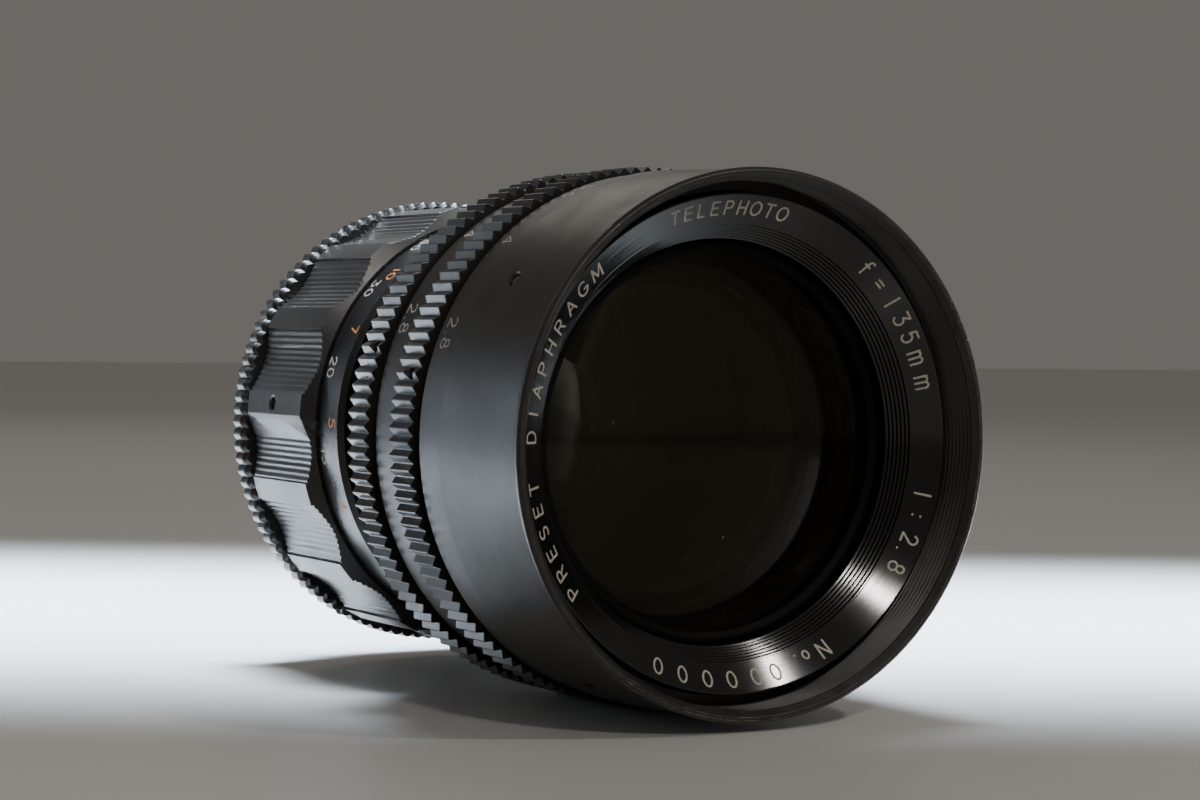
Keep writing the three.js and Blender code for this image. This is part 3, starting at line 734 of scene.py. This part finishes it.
def f_stops(name, band, place, body, first):
    size = (STOP_HEIGHT, STOP_STROKE, STOP_SPACE)
    labels = [(text, first + turn, place, *size) for text, turn in STOPS]
    engrave(name, labels, on_band(band), CREAM, body, "scale_white")


PRESET_BAND = 33.45
APERTURE_BAND = 33.1

knurled_ring("preset_ring", PRESET_BAND, band_end=24.9, valley=33.72, knurl_start=26.2)
f_stops("preset_scale", PRESET_BAND, 22.5, "preset_ring", -67.2)
knurled_ring("aperture_ring", APERTURE_BAND, band_end=37.9, valley=33.65, knurl_start=38.8)
f_stops("aperture_scale", APERTURE_BAND, 36.2, "aperture_ring", -63.6)

# ------------------------------------------------------------------ distance ring, grip

# Each distance with the turn that focuses there, and the unit's own name. "~" is infinity.
METRES = (("~", 0), ("15", 29), ("10", 44.5), ("7", 63), ("5", 88.7), ("4", 111), ("3", 147),
          ("2.5", 178), ("2", 226), ("1.8", 255), ("1.5", 300), ("m", 318))
FEET = (("~", 0), ("50", 31), ("30", 49.6), ("20", 73.8), ("15", 98), ("10", 152), ("8", 196),
        ("6", 262), ("5", 296), ("ft", 318))
METRES_ROW, FEET_ROW = 2.35, 5.05
DISTANCE_HEIGHT, DISTANCE_STROKE, DISTANCE_SPACE = 1.9, 0.26, 0.25
FOCUS_BORE = 27.55


def distances(name, marks, place, radius, material, slot):
    size = (DISTANCE_HEIGHT, DISTANCE_STROKE, DISTANCE_SPACE)
    labels = [(text, -turn, place, *size) for text, turn in marks]
    engrave(name, labels, on_band(radius), material, "focus_ring", slot)


def distance_ring():
    start, end = span("distance_ring")
    radius = outer_radius("distance_ring")
    outline = [(start, FOCUS_BORE, 0), (start, radius - 0.75, 0.08), (start + 0.7, radius, 0.15),
               (end, radius, 0.05), (end, FOCUS_BORE, 0)]
    ring = spin("distance_ring_turned", outline, SATIN_FINE, even(300), steady(0.3))
    settle(ring, "focus_ring", "black_anodised", "distance_ring")
    distances("metre_scale", METRES, start + METRES_ROW, radius, ORANGE, "scale_orange")
    distances("feet_scale", FEET, start + FEET_ROW, radius, WHITE, "scale_white")


distance_ring()

GRIP_LOBES = 16
GRIP_LAND = 5.7
GRIP_STEP = 0.14
GRIP_DEPTH = 1.1
GRIP_RIBS = 11
RIB_DEPTH = 0.2
GRIP_FRONT = 29.4
GRIP_BEVEL = 2.2
GRIP_CHAMFER = 0.35
GRIP_HOLE_MARGIN = 1.6
GRIP_SCREWS = [f"grip_screw_{i}" for i in (1, 2, 3)]


def grip():
    start, end = span("focus_grip")
    land = outer_radius("focus_grip") + 0.05
    hole, first, _ = polar(GRIP_SCREWS[0])
    pitch = 360 / GRIP_LOBES
    scallop = pitch - GRIP_LAND

    def surface(angle):
        phase = (angle - first + GRIP_LAND / 2) % pitch
        if phase <= GRIP_LAND + 1e-6:
            return land
        along = min(1.0, (phase - GRIP_LAND) / scallop)
        hollow = GRIP_STEP + GRIP_DEPTH * math.sin(math.pi * along)
        rib = (along * GRIP_RIBS) % 1
        return land - hollow - RIB_DEPTH * abs(2 * rib - 1)

    def outline(angle):
        top = surface(angle)
        reach = (top - GRIP_FRONT) / GRIP_BEVEL
        return [(start, FOCUS_BORE, 0), (start, GRIP_FRONT, 0.05), (start + reach, top, 0.06),
                (hole - GRIP_HOLE_MARGIN, top, 0), (hole + GRIP_HOLE_MARGIN, top, 0),
                (end - GRIP_CHAMFER, top, 0.08), (end, top - GRIP_CHAMFER, 0.05), (end, FOCUS_BORE, 0)]

    angles = []
    for lobe in range(GRIP_LOBES):
        middle = first + lobe * pitch
        angles += [middle + GRIP_LAND * k for k in (-0.5, -0.46, -0.36, 0, 0.36, 0.46, 0.5)]
        edge = middle + GRIP_LAND / 2
        for rib in range(GRIP_RIBS):
            marks = (0.02 if rib == 0 else 0.06, 0.44, 0.56, 0.94 if rib < GRIP_RIBS - 1 else 0.98)
            angles += [edge + scallop * (rib + k) / GRIP_RIBS for k in marks]
    worn = [(-85, 40, 0.3), (100, 60, 0.3)]
    piece = spin("focus_grip_scalloped", outline, KNURL, angles, lambda a: bumps(a, worn, 0.2), 22)
    piece = drilled(piece, holes(GRIP_SCREWS, 0.95, 27.8, land - 0.05))
    settle(piece, "focus_ring", "black_anodised", "focus_grip")
    for screw in GRIP_SCREWS:
        slotted_screw(screw, "focus_ring", land - 0.6, 0.88, STEEL)


grip()

# ------------------------------------------------------------------ shoulder and mount ring

def head_shoulder():
    start, end = span("head_shoulder")
    outline = [(start, 26.0, 0), (start, 31.9, 0.1), (start + 1.5, 31.95, 0.15), (end, 27.4, 0.3),
               (end, 26.0, 0.1)]
    cone = spin("head_shoulder_turned", outline, SATIN_FINE, even(FULL_ROUND), steady(0.3))
    settle(cone, "head", "black_anodised", "head_shoulder")


head_shoulder()

BEADS = 112
BEAD_DEPTH = 0.5
BEAD_MARKS = (0.0, 0.12, 0.24, 0.36, 0.46, 0.5, 0.54, 0.64, 0.76, 0.88)
MOUNT_THREAD_LENGTH = 4.4
MOUNT_CREST, MOUNT_PITCH, MOUNT_DEPTH = 20.98, 1.0, 0.55
MOUNT_BORE, MOUNT_SOCKET, SOCKET_FLOOR = 19.25, 28.35, 2.0
MOUNT_SCREWS = [f"mount_screw_{i}" for i in (1, 2, 3)]


def mount_ring():
    start, end = span("mount_ring")
    ridge = outer_radius("mount_ring")
    face = end - MOUNT_THREAD_LENGTH

    def outline(angle):
        phase = (angle * BEADS / 360) % 1
        top = ridge - BEAD_DEPTH * (1 - abs(math.cos(math.pi * phase)))
        bead = [(start, MOUNT_SOCKET, 0), (start, top - 0.7, 0.1), (start + 0.55, top, 0.25),
                (face - 0.6, top, 0.25), (face, top - 0.6, 0.1), (face, 20.4, 0.05)]
        screw = thread_run(face + 0.5, end - 0.45, MOUNT_CREST, MOUNT_PITCH, MOUNT_DEPTH, angle)
        bore = [(end, 20.3, 0.05), (end, MOUNT_BORE, 0.1), (start + SOCKET_FLOOR, MOUNT_BORE, 0),
                (start + SOCKET_FLOOR, MOUNT_SOCKET, 0)]
        return bead + screw + bore

    ring = spin("mount_ring_beaded", outline, KNURL, teeth_angles(BEADS, BEAD_MARKS), steady(0.4), 40)
    ring = drilled(ring, holes(MOUNT_SCREWS, 0.62, 28.4, ridge - 0.35))
    settle(ring, "rear_body", "black_anodised", "mount_ring")
    for screw in MOUNT_SCREWS:
        slotted_screw(screw, "rear_body", ridge - 0.9, 0.58, STEEL)


mount_ring()

# ------------------------------------------------------------------ glass

def lens_face(vertex, radius, edge, steps=20):
    """Outline points from the axis out to the edge. A radius of None is a flat face."""
    points = []
    for i in range(steps + 1):
        r = edge * i / steps
        sag = 0
        if radius is not None:
            sag = math.copysign(abs(radius) - math.sqrt(radius * radius - r * r), radius)
        points.append((vertex + sag, r, 0))
    return points


def glass(node_name, front, front_radius, rear, rear_radius, material):
    edge = outer_radius(node_name)
    outline = lens_face(front, front_radius, edge) + lens_face(rear, rear_radius, edge)[::-1]
    piece = spin(node_name + "_polished", outline, material, even(160), steady(0), 40)
    settle(piece, "head", "optical_glass", node_name)


glass("element_front", 7.5, 62, 15.5, None, FRONT_GLASS)
glass("element_second", 16.2, 45, 22.2, 120, INNER_GLASS)
glass("element_third", 27.5, -150, 29.5, 38, INNER_GLASS)
glass("element_rear", 48.2, 80, 54.2, -60, FRONT_GLASS)


def front_retainer():
    outline = [(10.85, 24.1, 0.08), (10.85, 24.5, 0.05), (12.1, 24.5, 0), (11.7, 23.4, 0.05),
               (11.35, 23.4, 0.08)]
    ring = spin("front_retainer_turned", outline, MATT, even(200), steady(0.25))
    settle(ring, "head", "matt_black", "front_retainer")


front_retainer()

# ------------------------------------------------------------------ CAD pieces that stay

FINISHES = {
    "black_anodised": SATIN_FINE, "matt_black": MATT, "optical_glass": INNER_GLASS, "brass": BRASS,
    "blade_steel": BLADE, "steel": STEEL,
}
for entry in frame["record"]["subparts"]:
    kept = frame["nodes"][entry["node"]]
    kept.data.materials.clear()
    kept.data.materials.append(FINISHES[entry["material_slot"]])

# ------------------------------------------------------------------ floor, light and camera

FLOOR_HALF = 3.0
VIEW_TURN = math.radians(30.0)
VIEW_DIP = math.radians(1.66)
LENS_MM, SENSOR_MM = 81.0, 36.0
RIM_FROM_EYE = (19.53, 321.97, -5.48)


def floor():
    mesh = bpy.data.meshes.new("floor")
    corners = [(FLOOR_HALF * x, FLOOR_HALF * y, 0) for x, y in ((-1, -1), (1, -1), (1, 1), (-1, 1))]
    mesh.from_pydata(corners, [], [(0, 1, 2, 3)])
    material, tree, shader = new_material("pale_floor")
    shader.inputs["Base Color"].default_value = (0.72, 0.71, 0.69, 1)
    shader.inputs["Roughness"].default_value = 0.35
    mesh.materials.append(material)
    plane = bpy.data.objects.new("floor", mesh)
    bpy.context.scene.collection.objects.link(plane)


def area_light(name, place, shape, size, power, color, spread=180):
    light = bpy.data.lights.new(name, "AREA")
    light.shape, light.size, light.size_y = shape, *size
    light.energy, light.color = power, color
    light.spread = math.radians(spread)
    lamp = bpy.data.objects.new(name, light)
    bpy.context.scene.collection.objects.link(lamp)
    lamp.location = place
    return lamp


def soft_lamp(name, place, aim, size, power, color):
    """An elliptical lamp that faces the aim."""
    lamp = area_light(name, place, "ELLIPSE", size, power, color)
    lamp.rotation_euler = (Vector(aim) - Vector(place)).to_track_quat("-Z", "Y").to_euler()


def floor_wash():
    """A cool strip of light straight down on the floor behind the lens, along the view's width."""
    lamp = area_light("floor_wash", (-0.02, 0.12, 0.28), "RECTANGLE", (0.9, 0.16), 4.5,
                      (0.74, 0.86, 1.0), spread=30)
    lamp.rotation_euler = (0, 0, -VIEW_TURN)


def studio():
    world = bpy.data.worlds.new("studio")
    world.use_nodes = True
    background = world.node_tree.nodes["Background"]
    background.inputs["Color"].default_value = (0.75, 0.71, 0.66, 1)
    background.inputs["Strength"].default_value = 0.2
    bpy.context.scene.world = world


def camera():
    """The lens axis is 30 degrees off the line of sight, and the eye is just above its middle."""
    outward = Vector((math.sin(VIEW_TURN) * math.cos(VIEW_DIP), -math.cos(VIEW_TURN) * math.cos(VIEW_DIP),
                      -math.sin(VIEW_DIP)))
    up = (Vector((0, 0, 1)) - outward * outward.z).normalized()
    right = up.cross(outward)
    to_model = Matrix((right, -outward, up))
    data = bpy.data.cameras.new("camera")
    data.lens, data.sensor_width, data.clip_start = LENS_MM, SENSOR_MM, 0.01
    eye = bpy.data.objects.new("camera", data)
    bpy.context.scene.collection.objects.link(eye)
    looks = Matrix(((1, 0, 0), (0, 0, -1), (0, 1, 0)))
    place = point(0, 0, 0) - to_model @ (Vector(RIM_FROM_EYE) * MM)
    eye.matrix_world = Matrix.Translation(place) @ (to_model @ looks).to_4x4()
    bpy.context.scene.camera = eye


LENS_MIDDLE = (0, 0, 0.03)
floor()
camera()
soft_lamp("lamp_left", (-0.145, -0.70, 0.526), LENS_MIDDLE, (0.06, 0.06), 1.3, (1.0, 0.95, 0.86))
soft_lamp("lamp_right", (0.316, -0.506, 0.645), LENS_MIDDLE, (0.05, 0.05), 1.1, (1.0, 0.95, 0.88))
soft_lamp("back_soft", (0.25, 0.75, 0.60), LENS_MIDDLE, (0.5, 0.3), 0.5, (1.0, 0.93, 0.85))
soft_lamp("left_low", (-0.36, 0.36, 0.10), (-0.03, 0.02, 0.03), (0.30, 0.12), 0.2, (0.72, 0.85, 1.0))
floor_wash()
studio()
